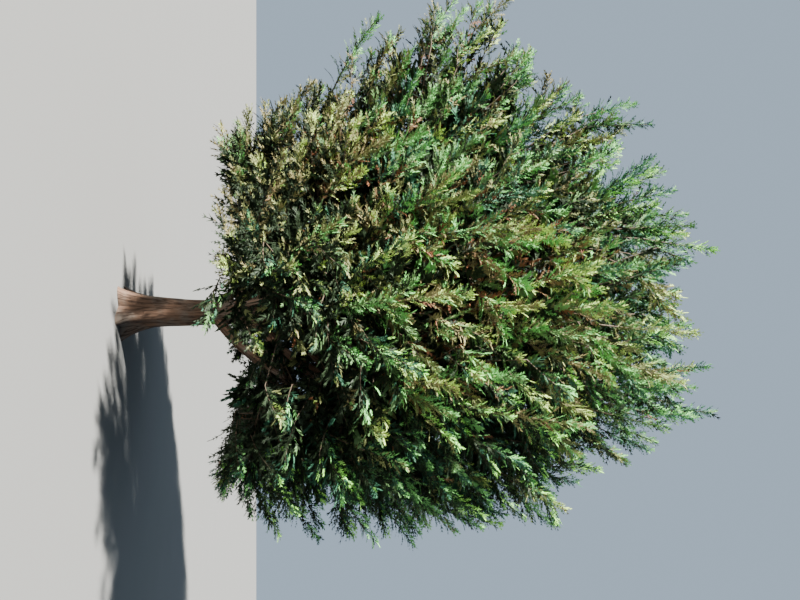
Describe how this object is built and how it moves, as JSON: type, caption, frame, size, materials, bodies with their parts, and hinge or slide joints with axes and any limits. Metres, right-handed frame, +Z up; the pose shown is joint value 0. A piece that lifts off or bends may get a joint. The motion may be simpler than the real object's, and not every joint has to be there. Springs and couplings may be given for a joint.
{
  "type": "leyland cypress tree",
  "caption": "Large evergreen cypress with a short trunk, boughs that fan out from low down, and a broad rounded crown of upswept feathery plumes with a side leader.",
  "frame": {"origin": "middle of the flat cut under the trunk at ground level", "axes": "+Z up along the trunk, -Y towards the side seen in the picture, +X to the right of that view"},
  "size_m": [10.0226, 7.56, 10.9818],
  "materials": {
    "bark": "rough fibrous bark",
    "foliage": "matt scale-leaved sprays"
  },
  "bodies": {
    "root": {"bough_crown_1": "bark", "bough_crown_2": "bark", "bough_crown_3": "bark", "bough_lower_1": "bark", "bough_lower_2": "bark", "bough_lower_3": "bark", "bough_lower_4": "bark", "bough_lower_5": "bark", "bough_lower_6": "bark", "bough_lower_7": "bark", "bough_middle_1": "bark", "bough_middle_2": "bark", "bough_middle_3": "bark", "bough_middle_4": "bark", "bough_middle_5": "bark", "bough_middle_6": "bark", "bough_middle_7": "bark", "bough_skirt_1": "bark", "bough_skirt_2": "bark", "bough_skirt_3": "bark", "bough_skirt_4": "bark", "bough_skirt_5": "bark", "bough_skirt_6": "bark", "bough_upper_1": "bark", "bough_upper_2": "bark", "bough_upper_3": "bark", "bough_upper_4": "bark", "bough_upper_5": "bark", "foliage_crown_1": "foliage", "foliage_crown_2": "foliage", "foliage_crown_3": "foliage", "foliage_leader": "foliage", "foliage_lower_1": "foliage", "foliage_lower_2": "foliage", "foliage_lower_3": "foliage", "foliage_lower_4": "foliage", "foliage_lower_5": "foliage", "foliage_lower_6": "foliage", "foliage_lower_7": "foliage", "foliage_middle_1": "foliage", "foliage_middle_2": "foliage", "foliage_middle_3": "foliage", "foliage_middle_4": "foliage", "foliage_middle_5": "foliage", "foliage_middle_6": "foliage", "foliage_middle_7": "foliage", "foliage_skirt_1": "foliage", "foliage_skirt_2": "foliage", "foliage_skirt_3": "foliage", "foliage_skirt_4": "foliage", "foliage_skirt_5": "foliage", "foliage_skirt_6": "foliage", "foliage_upper_1": "foliage", "foliage_upper_2": "foliage", "foliage_upper_3": "foliage", "foliage_upper_4": "foliage", "foliage_upper_5": "foliage", "trunk": "bark"}
  },
  "joints": []
}
